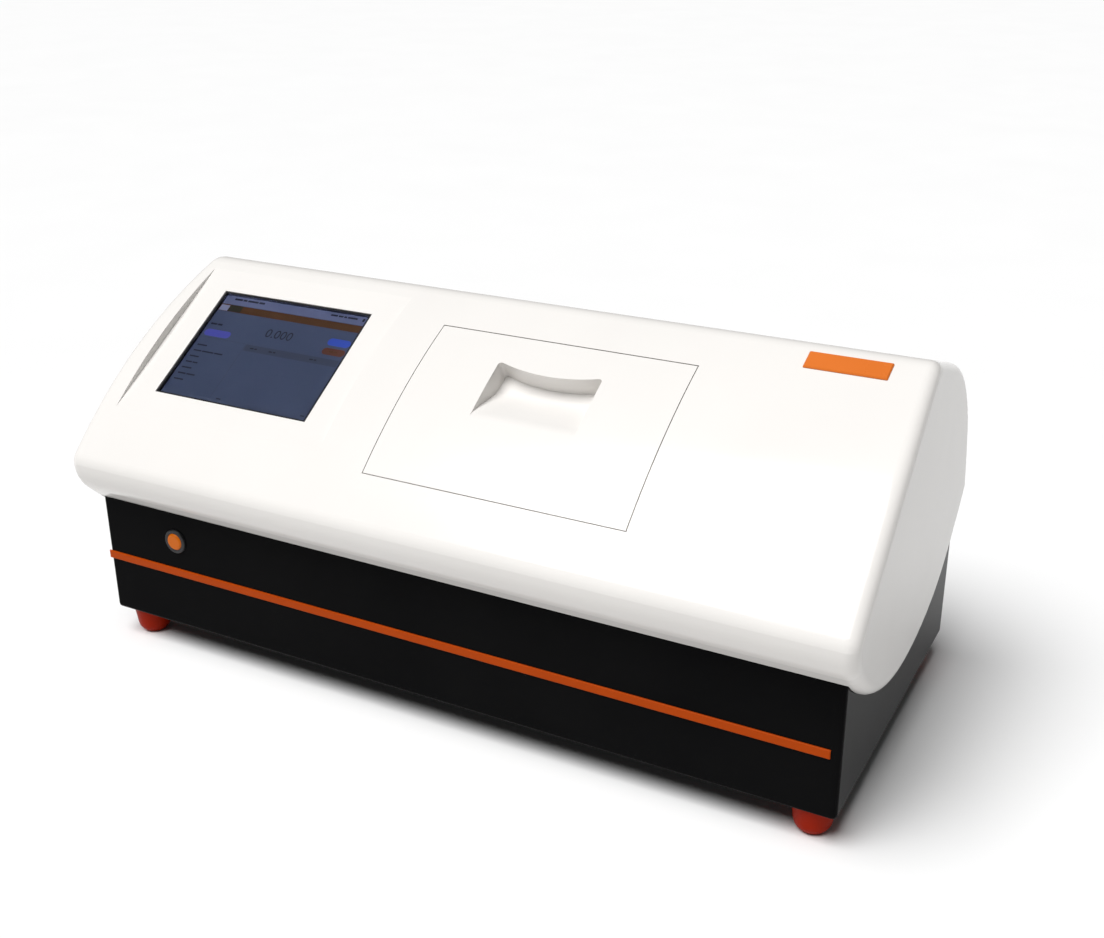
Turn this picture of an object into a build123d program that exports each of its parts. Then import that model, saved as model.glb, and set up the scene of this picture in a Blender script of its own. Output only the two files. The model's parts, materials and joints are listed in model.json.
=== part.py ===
from build123d import *
import os
from math import acos, atan2, cos, degrees, hypot, pi, radians, sin, sqrt, tan

os.makedirs("parts", exist_ok=True)

# Automatic polarimeter, in millimetres. X runs along the instrument, Y to its rear and Z up.
# The origin is the middle of the footprint at the height that the feet stand on.
# Lengths that are written "from the front" and "above the casing" start at the casing's
# front face and at its underside.

# Black casing of folded sheet
body_width = 696.0
body_depth = 312.0
foot_height = 27.0
casing_sheet = 2.0
casing_corner_radius = 4.5
casing_bottom_radius = 3.5
front_wall_top = 125.0
side_wall_rear_top = 172.0
rear_wall_top = 139.0
seam = 0.3
hood_side_gap = 0.8
vent_slot_length = 60.0
vent_slot_width = 4.0
vent_pitch = 14.0
vent_count = 7

# White moulded hood: side outline, from the front and above the casing
hood_wall = 3.5
hood_cut_top = 177.0
hood_rib_places = (body_depth * 0.192, body_depth * 0.769)
hood_rib_length = 8.0
hood_rib_rise = 30.0
hood_rib_reach = 8.0
hood_overhang = 11.0
nose_reach = 23.0
nose_z = 153.0
nose_radius = 14.0
face_start_slope = 46.4
face_end_slope = 22.2
face_radius = body_depth * 1.776
crest_radius = 25.0
back_slope = 18.5
rear_top_radius = 80.0
lip_radius = 38.0
lip_turn = 45.0
belly_low_y = 122.0
belly_low_z = 66.0
belly_rear_share = 0.854
swoosh_rear_z = 144.0
swoosh_rear_radius = 75.0
cheek_fall = 24.9
cheek_lean = 60.0
cheek_edge_radius = 10.0

# Chamber lid, its finger recess and its hinge
lid_from_facet = 49.2
lid_width = body_width * 0.336
lid_front_y = body_depth * 0.03
lid_rear_y = body_depth * 0.444
lid_wall = 3.5
lid_gap = 0.8
recess_width = 95.0
recess_from_rear = 29.0
recess_length = 59.0
recess_depth = 19.0
recess_bow_radius = 152.0
hinge_setback = 12.0
hinge_depth = 9.0
hinge_pin_radius = 2.0
hinge_running_gap = 0.05
hinge_ear_radius = 5.5
hinge_ear_width = 8.0
hinge_spacing = 150.0
hinge_arm_sheet = 3.0
hinge_arm_radius = 4.8
swing_gap = 0.8

# Display in its flat facet
facet_from_side = 13.6
facet_width = 224.2
facet_front_y = body_depth * 0.055
facet_rear_y = body_depth * 0.525
display_share = 0.498
display_width = 166.0
display_height = 124.2
bezel_face_depth = 0.8
bezel_border = 2.0
glass_sheet = 1.8
lcd_thickness = 6.0
lcd_margin = 9.0

# Trim on the front
strip_low_z = 52.1
strip_high_z = 59.6
strip_proud = 1.5
strip_edge_radius = 0.9
strip_from_left = 0.5
strip_from_right = 7.7
plate_from_right = 62.4
plate_y = body_depth * 0.519
plate_width = 66.0
plate_height = 19.0
plate_thickness = 1.6

# Power button
button_from_left = 83.9
button_z = 87.1
switch_ring_radius = 11.25
switch_ring_proud = 2.2
switch_barrel_radius = 9.5
switch_barrel_length = 24.0
button_radius = 8.0
button_gap = 0.08
button_proud = 3.4
button_length = 12.0
button_travel = 2.5

# Feet
foot_inset_x = 23.0
foot_inset_y = 22.0
foot_top_radius = 17.5
foot_low_radius = 15.0
foot_low_z = 9.0
foot_rest_radius = 8.5
foot_screw_radius = 2.5
foot_screw_head_radius = 4.5

# Optical bench and the beam along it
beam_y = body_depth * 0.2564
beam_z = 150.0
bench_top_z = 108.0
bench_sheet = 8.0
bench_front_y = body_depth * 0.077
bench_rear_y = body_depth * 0.487
bench_from_side = 18.0
pillar_radius = 7.0
mount_sheet = 12.0
mount_width = 52.0
bench_gap = 0.05

# Sample chamber
chamber_wall = 3.0
chamber_inset = 4.0
chamber_front_y = body_depth * 0.0513
chamber_rear_y = body_depth * 0.4776
seal_thickness = 1.7
flange_sheet = 3.0
window_radius = 12.0
window_sheet = 2.0
rest_width = 14.0
rest_top_z = 146.0
tube_radius = 15.0

# Analyser drive: a spur gear pair of module one
gear_module = 1.0
drum_teeth = 64
pinion_teeth = 16
gear_face = 8.0
pressure_angle = 20.0
backlash = 0.2
drum_radius = 15.0
drum_bore_radius = 10.0
drum_from_modulator = 12.0
drum_share = 0.196
bearing_radius = 21.0
bearing_width = 7.0
running_gap = 0.05
motor_size = 35.0
motor_share = 0.098
motor_shaft_radius = 2.5
motor_plate_from_drum = 10.0
motor_plate_sheet = 3.0

# Rear services
rear_sheet = 1.5
connector_reach = 6.0
rear_panel_from_side = 28.0
rear_panel_low_z = 10.0
rear_panel_high_z = 128.0
fan_from_right = 158.0
fan_z = 70.0
fan_size = 60.0
fan_thickness = 20.0
fan_bore_radius = 28.5
fan_hub_radius = 14.0
fan_blades = 7
inlet_from_right = 68.0
inlet_z = 70.0
serial_from_left = 98.0
usb_from_left = 148.0

# Smaller sizes
cheek_turn = 8.0
foot_well_depth = 12.0
foot_screw_head = 3.0
screw_fit = 0.2
plate_corner = 1.0
plate_seat = 0.05
plate_bevel = 1.0
switch_fit = 0.1
switch_tag_pitch = 8.0
switch_tag_sheet = 0.8
switch_tag_width = 5.0
switch_tag_length = 7.0
switch_nut_thickness = 3.0
switch_nut_radius = 12.75
button_crown = 2.4
bezel_flange = 2.0
glass_inset = 0.3
lcd_gap = 0.4
pane_gap = 0.1
tray_sheet = 1.5
tray_foot = 10.0
display_post_length = 6.0
display_board_width = 150.0
display_board_height = 90.0
board_sheet = 1.6
post_radius = 3.0
bench_rib = 10.0
flange_reach = 8.0
rest_share = 0.62
rest_block = 48.0
recess_corner = 3.0
recess_cove = 14.0
hinge_arm_width = 12.0
hinge_pin_head = 1.0
hinge_pin_head_radius = 3.0
polariser_share = 0.092
polariser_radius = 12.0
polariser_sheet = 6.0
collimator_share = 0.333
collimator_length_share = 0.31
collimator_radius = 16.0
lens_radius = 12.0
lens_edge = 5.0
lens_crown = 2.5
lamp_share = 0.517
lamp_length_share = 0.218
lamp_width = 44.0
lamp_corner = 2.0
lamp_chip_radius = 4.0
lamp_chip_height = 2.0
heat_sink_base = 4.0
heat_sink_fins = 8
heat_sink_fin = 1.6
heat_sink_share = 0.115
modulator_from_chamber = 8.0
modulator_share = 0.21
cradle_drop = 10.0
coil_core_radius = 12.0
core_radius = 9.0
coil_flange = 4.0
coil_flange_radius = 25.0
coil_radius = 22.0
housing_share = 0.126
housing_from_drum = 7.0
drum_clearance = 2.0
prism_length = 14.0
gear_holes = 6
gear_hole_radius = 4.5
pinion_overlap = 1.0
motor_shaft_depth = 16.0
motor_corner = 3.5
motor_boss_radius = 11.0
detector_from_drum = 16.0
detector_share = 0.28
detector_radius = 20.0
detector_wall = 2.0
detector_socket = 8.0
tube_glass_share = 0.775
tube_glass_radius = 14.0
board_from_left = 28.0
board_from_rear = 6.0
board_z = 24.0
board_width = body_width * 0.33
board_length = body_depth * 0.43
chip_offset = board_width * 0.27
chip_size = 28.0
chip_height = 3.0
driver_pitch = 36.0
driver_length = 22.0
driver_width = 12.0
capacitor_pitch = 22.0
capacitor_radius = 7.0
capacitor_height = 20.0
supply_from_board = 30.0
supply_from_rear = 25.0
supply_width = body_width * 0.2586
supply_length = body_depth * 0.3526
supply_height = 42.0
supply_sheet = 1.5
rear_panel_lap = 12.0
panel_screw_inset = 6.0
panel_screw_radius = 1.5
panel_screw_head = 1.8
joiner_from_side = 38.0
joiner_sheet = 2.0
joiner_low_z = 130.5
joiner_high_z = 160.0
port_height = 12.5
serial_width = 30.8
serial_depth = 12.0
serial_shell_width = 18.0
serial_shell_height = 9.0
serial_corner = 1.2
usb_width = 12.0
usb_depth = 16.0
usb_wall = 0.8
usb_tongue_width = 5.6
usb_tongue_height = 3.2
fan_corner = 4.0
fan_strut = 2.5
fan_bush_length = 9.0
fan_bush_radius = 4.0
fan_shaft_radius = 1.5
fan_end_gap = 1.0
fan_hub_wall = 1.5
fan_blade_chord = 14.0
fan_blade_sheet = 1.4
fan_blade_pitch = 35.0
fan_tip_gap = 1.0
guard_rings = 4
guard_pitch = 7.0
guard_wire = 1.6
guard_reach = 29.0
inlet_flange_width = 50.0
inlet_flange_height = 30.0
inlet_flange = 2.5
inlet_corner = 3.0
inlet_body_width = 46.0
inlet_body_height = 26.0
inlet_body_depth = 26.0
inlet_socket_offset = 7.5
inlet_socket_width = 25.0
inlet_socket_height = 17.0
inlet_socket_chamfer = 4.0
inlet_socket_depth = 18.0
inlet_fuse_offset = 14.5
inlet_pin_pitch = 7.0
inlet_pin_drop = 2.0
inlet_pin_width = 2.0
inlet_pin_height = 4.0
inlet_pin_length = 14.0
fuse_width = 9.0
fuse_height = 20.0
fuse_depth = 18.0
vent_from_side = 173.0

# Places along the instrument, from its middle
half_width = body_width / 2
inner_half = half_width - casing_sheet
facet_left_x = facet_from_side - half_width
facet_right_x = facet_left_x + facet_width
display_x = facet_left_x + facet_width / 2
lid_x = facet_right_x + lid_from_facet + lid_width / 2
strip_left_x = strip_from_left - half_width
strip_right_x = half_width - strip_from_right
plate_x = half_width - plate_from_right
button_x = button_from_left - half_width
bench_left_x = bench_from_side - half_width
bench_right_x = half_width - bench_from_side
chamber_inner_width = lid_width - 2 * chamber_inset
chamber_outer_width = chamber_inner_width + 2 * chamber_wall
chamber_left_x = lid_x - chamber_outer_width / 2
chamber_right_x = lid_x + chamber_outer_width / 2
rest_spacing = chamber_inner_width * rest_share
source_run = inner_half - chamber_right_x
polariser_x = chamber_right_x + source_run * polariser_share
collimator_x = chamber_right_x + source_run * collimator_share
collimator_length = source_run * collimator_length_share
lamp_x = chamber_right_x + source_run * lamp_share
lamp_length = source_run * lamp_length_share
heat_sink_reach = source_run * heat_sink_share
analyser_run = chamber_left_x + inner_half
modulator_length = analyser_run * modulator_share
modulator_x = chamber_left_x - modulator_from_chamber - modulator_length
drum_right_x = modulator_x - drum_from_modulator
drum_left_x = drum_right_x - analyser_run * drum_share
analyser_block = analyser_run * housing_share
block_left_x = drum_right_x - housing_from_drum - analyser_block
analyser_x = block_left_x + analyser_block / 2
motor_length = analyser_run * motor_share
motor_plate_x = drum_left_x - motor_plate_from_drum
detector_length = analyser_run * detector_share
detector_x = drum_left_x - detector_from_drum - detector_length
tube_length = detector_length * tube_glass_share
board_x = board_from_left - half_width + board_width / 2
board_y = body_depth - board_from_rear - board_length / 2
supply_x = board_x + board_width / 2 + supply_from_board + supply_width / 2
supply_y = body_depth - supply_from_rear - supply_length / 2
rear_panel_width = body_width - 2 * rear_panel_from_side
fan_x = half_width - fan_from_right
inlet_x = half_width - inlet_from_right
serial_x = serial_from_left - half_width
usb_x = usb_from_left - half_width
vent_places = (vent_from_side - half_width, half_width - vent_from_side)
joiner_half = half_width - joiner_from_side

# Datum planes and derived places
rear_reach = rear_sheet + connector_reach
front_y = (nose_reach - rear_reach - body_depth) / 2
corner = (0, front_y, foot_height)
side = Plane(origin=corner, x_dir=(0, 1, 0), z_dir=(1, 0, 0))
plan = Plane(origin=corner, x_dir=(1, 0, 0), z_dir=(0, 0, 1))
front = Plane(origin=corner, x_dir=(1, 0, 0), z_dir=(0, -1, 0))
beam = Plane(origin=(0, front_y + beam_y, foot_height + beam_z), x_dir=(0, 1, 0), z_dir=(1, 0, 0))
inner_rear = body_depth - casing_sheet
lip_end_y = lip_radius * (1 - cos(radians(lip_turn))) - nose_reach
lip_end_z = nose_z - lip_radius * sin(radians(lip_turn))
belly_reach = (belly_low_y - lip_end_y) * sin(radians(lip_turn))
belly_reach += (belly_low_z - lip_end_z) * cos(radians(lip_turn))
belly_front_radius = belly_reach / (1 - cos(radians(lip_turn)))
belly_run = body_depth - belly_low_y
belly_rise = swoosh_rear_z - belly_low_z
belly_rear_radius = belly_rear_share * (belly_run ** 2 + belly_rise ** 2) / (2 * belly_rise)
belly_to_rear = hypot(belly_run, belly_rear_radius - belly_rise)
rear_bearing = atan2(belly_run, belly_rear_radius - belly_rise)
belly_rear_turn = degrees(rear_bearing - acos(belly_rear_radius / belly_to_rear))
cheek_radius = body_depth ** 2 / (2 * cheek_fall)
face_start_y = -nose_reach + nose_radius * (1 - sin(radians(face_start_slope)))
face_start_z = nose_z + nose_radius * cos(radians(face_start_slope))


def face_slope(y):
    """Slope in degrees of the hood's convex face at y from the front."""
    rise = sin(radians(face_start_slope)) - (y - face_start_y) / face_radius
    return degrees(atan2(rise, sqrt(1 - rise * rise)))


def face_z(y, depth=0.0):
    """Height above the casing of the hood's convex face at y, sunk by a depth square to it."""
    slope = radians(face_slope(y))
    skin = face_start_z + face_radius * (cos(slope) - cos(radians(face_start_slope)))
    return skin - depth / cos(slope)


def plane_on(y0, z0, y1, z1, x=0.0):
    """Plane through two points of the side view, with local Y up the slope from the first."""
    run = hypot(y1 - y0, z1 - z0)
    origin = (x, front_y + y0, foot_height + z0)
    return Plane(origin=origin, x_dir=(1, 0, 0), z_dir=(0, -(z1 - z0) / run, (y1 - y0) / run))


lid_slope = plane_on(lid_front_y, face_z(lid_front_y), lid_rear_y, face_z(lid_rear_y), lid_x)
lid_length = hypot(lid_rear_y - lid_front_y, face_z(lid_rear_y) - face_z(lid_front_y))
lid_angle = degrees(atan2(face_z(lid_rear_y) - face_z(lid_front_y), lid_rear_y - lid_front_y))
facet = plane_on(facet_front_y, face_z(facet_front_y), facet_rear_y, face_z(facet_rear_y))
rear_slope = radians(face_slope(lid_rear_y))
pin_y = lid_rear_y - hinge_setback * cos(rear_slope) + hinge_depth * sin(rear_slope)
pin_z = face_z(lid_rear_y) - hinge_setback * sin(rear_slope) - hinge_depth * cos(rear_slope)
swing_radius = hypot(hinge_setback, hinge_depth)
facet_length = hypot(facet_rear_y - facet_front_y, face_z(facet_rear_y) - face_z(facet_front_y))
display_up = facet_length * display_share
rear = front.offset(-body_depth)
beam_height = beam_z - bench_top_z
foot_places = []
for foot_x in (foot_inset_x - half_width, half_width - foot_inset_x):
    for foot_y in (foot_inset_y, body_depth - foot_inset_y):
        foot_places.append((foot_x, foot_y))


def side_wall_top(y):
    """Height of the casing's side walls at y from the front."""
    return front_wall_top + (side_wall_rear_top - front_wall_top) * y / inner_rear


def finish(piece, name):
    """Name a finished piece and write it."""
    piece.label = name
    export_step(piece, f"parts/{name}.step")


# Hood

def hood_outline(inset):
    """Side outline of the hood, drawn inwards from the outer skin by the inset."""
    with BuildSketch() as outline:
        with BuildLine():
            nose = JernArc((-nose_reach, nose_z), (0, 1), nose_radius, face_start_slope - 90)
            face = JernArc(nose @ 1, nose % 1, face_radius, face_end_slope - face_start_slope)
            crest = JernArc(face @ 1, face % 1, crest_radius, -face_end_slope - back_slope)
            fall = (body_depth - (crest @ 1).X) * tan(radians(back_slope))
            rear_top = (body_depth, (crest @ 1).Y - fall)
            rear_low = (body_depth, swoosh_rear_z)
            Line(crest @ 1, rear_top)
            Line(rear_top, rear_low)
            belly_low = (belly_low_y, belly_low_z)
            belly_rear = JernArc(belly_low, (1, 0), belly_rear_radius, belly_rear_turn)
            belly_front = JernArc(belly_low, (-1, 0), belly_front_radius, -lip_turn)
            Line(belly_rear @ 1, rear_low)
            lip = JernArc((-nose_reach, nose_z), (0, -1), lip_radius, lip_turn)
            Line(lip @ 1, belly_front @ 1)
        make_face()
        rear_corners = outline.vertices().group_by(Axis.X)[-1].sort_by(Axis.Y)
        fillet(rear_corners[-1], rear_top_radius)
        fillet(rear_corners[0], swoosh_rear_radius)
        if inset:
            offset(amount=-inset, kind=Kind.INTERSECTION)
    return outline.sketch


def on_hood_rim(edge):
    """True for the edges between a cheek and the lip, nose, face, crest and back."""
    middle = side.to_local_coords(edge.center())
    rise = side_wall_rear_top - front_wall_top
    above_swoosh = front_wall_top - hood_overhang + rise * middle.X / body_depth
    return abs(middle.Z) > half_width - hood_overhang and middle.Y > above_swoosh


def hood_form(inset):
    """The hood as a solid: its outline cut by barrelled cheeks, with rounded outer edges."""
    reach = body_depth + body_width
    barrel = half_width + hood_overhang - inset
    lean = radians(cheek_lean)
    barrel_start = lid_slope.origin - Vector(lid_x, 0, 0)
    across_face = Plane(origin=barrel_start, x_dir=(1, 0, 0), z_dir=(0, -sin(lean), cos(lean)))
    with BuildPart() as form:
        with BuildSketch(side):
            add(hood_outline(inset))
        extrude(amount=body_width, both=True)
        with BuildSketch(across_face):
            with BuildLine():
                Line((barrel, -reach), (barrel, 0))
                cheek = JernArc((barrel, 0), (0, 1), cheek_radius - inset, cheek_turn)
                Line(cheek @ 1, (0, (cheek @ 1).Y))
                Line((0, -reach), (barrel, -reach))
                mirror(about=Plane.YZ)
            make_face()
        extrude(amount=reach, both=True, mode=Mode.INTERSECT)
        fillet(form.edges().filter_by(on_hood_rim), cheek_edge_radius - inset)
        with BuildSketch(facet.offset(-inset)):
            with Locations(((facet_left_x + facet_right_x) / 2, facet_length / 2)):
                Rectangle(facet_right_x - facet_left_x + 2 * inset, facet_length * 2)
        extrude(amount=hood_overhang * 2, mode=Mode.SUBTRACT)
    return form.part


hood_skin = hood_form(0)
hood_hollow = hood_form(hood_wall)
hood_middle = hood_form(hood_wall / 2)

with BuildPart() as hood_ribs:
    for rib_y in hood_rib_places:
        low = side_wall_top(rib_y) + seam
        low_rear = side_wall_top(rib_y + hood_rib_length) + seam
        with BuildSketch(side.offset(half_width - hood_rib_reach)):
            with BuildLine():
                Polyline((rib_y, low), (rib_y + hood_rib_length, low_rear),
                         (rib_y + hood_rib_length, low + hood_rib_rise), (rib_y, low + hood_rib_rise), close=True)
            make_face()
        extrude(amount=hood_rib_reach + hood_overhang)
    mirror(about=Plane.YZ)
    add(hood_middle, mode=Mode.INTERSECT)

with BuildPart() as hood:
    add(hood_skin)
    add(hood_hollow, mode=Mode.SUBTRACT)
    # room for the casing, behind the lip and between the cheeks
    with BuildSketch(plan.offset(-foot_height)):
        with Locations((0, body_depth - seam)):
            Rectangle(body_width + 2 * hood_side_gap, 2 * body_depth)
    extrude(amount=foot_height + hood_cut_top, mode=Mode.SUBTRACT)
    # rear wall, down to the casing
    with BuildSketch(rear):
        with Locations((0, rear_wall_top + seam)):
            Rectangle(body_width + 2 * hood_side_gap, hood_cut_top - rear_wall_top,
                      align=(Align.CENTER, Align.MIN))
    extrude(amount=hood_wall)
    add(hood_ribs.part)
    # lid opening, and the arc that the lid's rear edge swings in
    with BuildSketch(lid_slope.offset(-hood_overhang * 3)):
        with Locations((0, -lid_gap)):
            Rectangle(lid_width + 2 * lid_gap, lid_length + lid_gap - hinge_setback, align=(Align.CENTER, Align.MIN))
    extrude(amount=hood_overhang * 6, mode=Mode.SUBTRACT)
    with BuildSketch(side.offset(lid_x - lid_width / 2 - lid_gap)):
        with Locations((pin_y, pin_z)):
            Circle(swing_radius + swing_gap)
    extrude(amount=lid_width + 2 * lid_gap, mode=Mode.SUBTRACT)
    # display window
    with BuildSketch(facet.offset(-hood_wall * 3)):
        with Locations((display_x, display_up)):
            Rectangle(display_width, display_height)
    extrude(amount=hood_wall * 6, mode=Mode.SUBTRACT)
finish(hood.part, "hood")


# Casing and what is fixed to it

with BuildPart() as body_casing:
    with BuildSketch(plan):
        with Locations((0, body_depth / 2)):
            RectangleRounded(body_width, body_depth, casing_corner_radius)
    extrude(amount=side_wall_rear_top)
    fillet(body_casing.faces().sort_by(Axis.Z)[0].edges(), casing_bottom_radius)
    offset(amount=-casing_sheet, openings=body_casing.faces().sort_by(Axis.Z)[-1])
    notch_y = body_depth - hood_wall - seam
    beyond = body_depth * 2
    with BuildSketch(side.offset(-body_width)):
        with BuildLine():
            Polyline((-hood_overhang, front_wall_top), (0, front_wall_top), (notch_y, side_wall_top(notch_y)),
                     (notch_y, rear_wall_top), (beyond, rear_wall_top), (beyond, beyond),
                     (-hood_overhang, beyond), close=True)
        make_face()
    extrude(amount=2 * body_width, mode=Mode.SUBTRACT)
    with BuildSketch(front):
        with Locations((button_x, button_z)):
            Circle(switch_barrel_radius + switch_fit)
    extrude(amount=-casing_sheet, mode=Mode.SUBTRACT)
    # window behind the rear panel
    with BuildSketch(rear):
        with Locations((0, (rear_panel_low_z + rear_panel_high_z) / 2)):
            RectangleRounded(rear_panel_width - 2 * rear_panel_lap,
                             rear_panel_high_z - rear_panel_low_z - 2 * rear_panel_lap, rear_panel_lap / 2)
    extrude(amount=casing_sheet, mode=Mode.SUBTRACT)
    # floor: foot screws and air slots
    with BuildSketch(plan):
        with Locations(*foot_places):
            Circle(foot_screw_radius + screw_fit)
        for vent_x in vent_places:
            with Locations((vent_x, body_depth / 2)):
                with GridLocations(vent_pitch, 0, vent_count, 1):
                    SlotOverall(vent_slot_length, vent_slot_width, rotation=90)
    extrude(amount=casing_sheet, mode=Mode.SUBTRACT)
finish(body_casing.part, "body_casing")

with BuildPart() as foot_form:
    with BuildSketch(Plane.XZ):
        with BuildLine():
            bore = foot_screw_radius + screw_fit
            well = foot_screw_head_radius + screw_fit
            cone = Line((foot_top_radius, foot_height), (foot_low_radius, foot_low_z))
            heel = TangentArc(cone @ 1, (foot_rest_radius, 0), tangent=cone % 1)
            Polyline(heel @ 1, (well, 0), (well, foot_well_depth), (bore, foot_well_depth), (bore, foot_height),
                     cone @ 0)
        make_face()
    revolve(axis=Axis.Z)

with BuildPart(Plane(origin=(0, front_y, 0))) as feet:
    with Locations(*foot_places):
        add(foot_form.part)
finish(feet.part, "feet")

with BuildPart() as foot_screws:
    with BuildSketch(Plane(origin=(0, front_y, foot_well_depth - foot_screw_head))):
        with Locations(*foot_places):
            Circle(foot_screw_head_radius)
    extrude(amount=foot_screw_head)
    with BuildSketch(Plane(origin=(0, front_y, foot_well_depth))):
        with Locations(*foot_places):
            Circle(foot_screw_radius)
    extrude(amount=foot_height - foot_well_depth + foot_screw_head * 2)
    with BuildSketch(plan.offset(casing_sheet)):
        with Locations(*foot_places):
            RegularPolygon(foot_screw_head_radius, 6)
    extrude(amount=foot_screw_head)
finish(foot_screws.part, "foot_screws")

with BuildPart() as trim_strip:
    with BuildSketch(front):
        with Locations(((strip_left_x + strip_right_x) / 2, (strip_low_z + strip_high_z) / 2)):
            Rectangle(strip_right_x - strip_left_x, strip_high_z - strip_low_z)
    extrude(amount=strip_proud)
    fillet(trim_strip.faces().sort_by(Axis.Y)[0].edges(), strip_edge_radius)
finish(trim_strip.part, "trim_strip")

plate_slope = radians(face_slope(plate_y))
plate_plane = Plane(origin=(plate_x, front_y + plate_y, foot_height + face_z(plate_y)), x_dir=(1, 0, 0),
                    z_dir=(0, -sin(plate_slope), cos(plate_slope)))
with BuildPart() as name_plate:
    with BuildSketch(plate_plane.offset(plate_seat)):
        RectangleRounded(plate_width, plate_height, plate_corner)
    extrude(amount=plate_thickness)
    outer_face = name_plate.faces().sort_by(Axis(plate_plane.origin, plate_plane.z_dir))[-1]
    chamfer(outer_face.edges(), plate_bevel)
finish(name_plate.part, "name_plate")

with BuildPart() as power_switch:
    with BuildSketch(front):
        with Locations((button_x, button_z)):
            Circle(switch_ring_radius)
    extrude(amount=switch_ring_proud)
    fillet(power_switch.faces().sort_by(Axis.Y)[0].edges(), switch_ring_proud / 2)
    with BuildSketch(front):
        with Locations((button_x, button_z)):
            Circle(switch_barrel_radius)
    extrude(amount=-switch_barrel_length)
    with BuildSketch(front.offset(switch_ring_proud)):
        with Locations((button_x, button_z)):
            Circle(button_radius + button_gap)
    well_depth = button_length - button_proud + button_travel + seam
    extrude(amount=-(switch_ring_proud + well_depth), mode=Mode.SUBTRACT)
    with BuildSketch(front.offset(-switch_barrel_length)):
        with Locations((button_x, button_z)):
            with GridLocations(switch_tag_pitch, 0, 2, 1):
                Rectangle(switch_tag_sheet, switch_tag_width)
    extrude(amount=-switch_tag_length)
finish(power_switch.part, "power_switch")

with BuildPart() as switch_nut:
    with BuildSketch(front.offset(-casing_sheet)):
        with Locations((button_x, button_z)):
            RegularPolygon(switch_nut_radius, 6)
            Circle(switch_barrel_radius + running_gap, mode=Mode.SUBTRACT)
    extrude(amount=-switch_nut_thickness)
finish(switch_nut.part, "switch_nut")

with BuildPart() as power_button:
    with BuildSketch(front.offset(button_proud - button_length)):
        with Locations((button_x, button_z)):
            Circle(button_radius)
    extrude(amount=button_length)
    fillet(power_button.faces().sort_by(Axis.Y)[0].edges(), button_crown)
finish(power_button.part, "power_button")


# Display unit, square to the facet

def facet_plate(width, height, depth, thickness, hole=None):
    """A plate behind the facet, centred on the window, with its outer face at a depth."""
    with BuildPart() as plate:
        with BuildSketch(facet.offset(-depth)):
            with Locations((display_x, display_up)):
                Rectangle(width, height)
                if hole:
                    Rectangle(*hole, mode=Mode.SUBTRACT)
        extrude(amount=-thickness)
    return plate.part


glass_width = display_width - 2 * bezel_border
glass_height = display_height - 2 * bezel_border
bezel_back = hood_wall + bezel_flange
lcd_front = bezel_face_depth + glass_inset + glass_sheet + lcd_gap
tray_depth = bezel_back + lcd_thickness
with BuildPart() as display_bezel:
    add(facet_plate(display_width - 2 * seam, display_height - 2 * seam, bezel_face_depth,
                    hood_wall - bezel_face_depth, (glass_width, glass_height)))
    add(facet_plate(display_width + 2 * lcd_margin, display_height + 2 * lcd_margin, hood_wall, bezel_flange,
                    (glass_width, glass_height)))
finish(display_bezel.part, "display_bezel")

display_glass = facet_plate(glass_width - 2 * pane_gap, glass_height - 2 * pane_gap,
                            bezel_face_depth + glass_inset, glass_sheet)
finish(display_glass, "display_glass")

with BuildPart() as lcd_panel:
    add(facet_plate(glass_width - 2 * pane_gap, glass_height - 2 * pane_gap, lcd_front, bezel_back - lcd_front))
    add(facet_plate(display_width + 2 * lcd_margin, display_height + 2 * lcd_margin, bezel_back, lcd_thickness))
finish(lcd_panel.part, "lcd_panel")

tray_width = display_width + 2 * lcd_margin + 4 * tray_sheet
with BuildPart() as display_tray:
    add(facet_plate(tray_width, display_height, tray_depth, tray_sheet))
    for tray_side in (-1, 1):
        with BuildSketch(facet.offset(-hood_wall)):
            with Locations((display_x + tray_side * (tray_width / 2 - tray_sheet / 2), display_up)):
                Rectangle(tray_sheet, display_height)
        extrude(amount=hood_wall - tray_depth)
        with BuildSketch(facet.offset(-hood_wall)):
            with Locations((display_x + tray_side * (tray_width / 2 + tray_foot / 2 - tray_sheet / 2), display_up)):
                Rectangle(tray_foot, display_height)
        extrude(amount=-tray_sheet)
    with BuildSketch(facet.offset(-tray_depth - tray_sheet)):
        with Locations((display_x, display_up)):
            with GridLocations(display_board_width - 4 * post_radius, display_board_height - 4 * post_radius, 2, 2):
                Circle(post_radius)
    extrude(amount=-display_post_length)
finish(display_tray.part, "display_tray")

board_depth = tray_depth + tray_sheet + display_post_length
finish(facet_plate(display_board_width, display_board_height, board_depth, board_sheet), "display_board")


# Optical bench

bench_length = bench_right_x - bench_left_x
bench_width = bench_rear_y - bench_front_y
bench_x = (bench_left_x + bench_right_x) / 2
bench_y = (bench_front_y + bench_rear_y) / 2
with BuildPart() as optical_bench:
    with BuildSketch(plan.offset(bench_top_z - bench_sheet)):
        with Locations((bench_x, bench_y)):
            RectangleRounded(bench_length, bench_width, bench_sheet)
    extrude(amount=bench_sheet)
    with BuildSketch(plan.offset(bench_top_z - bench_sheet - bench_rib)):
        with Locations((bench_x, bench_y)):
            with GridLocations(0, bench_width - 8 * bench_sheet, 1, 2):
                Rectangle(bench_length - 8 * bench_sheet, bench_sheet)
    extrude(amount=bench_rib)
finish(optical_bench.part, "optical_bench")

with BuildPart() as bench_pillars:
    with BuildSketch(plan.offset(casing_sheet)):
        with Locations((bench_x, bench_y)):
            with GridLocations((bench_length - 6 * pillar_radius) / 2, bench_width - 4 * pillar_radius, 3, 2):
                RegularPolygon(pillar_radius, 6)
    extrude(amount=bench_top_z - bench_sheet - casing_sheet)
finish(bench_pillars.part, "bench_pillars")


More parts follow.
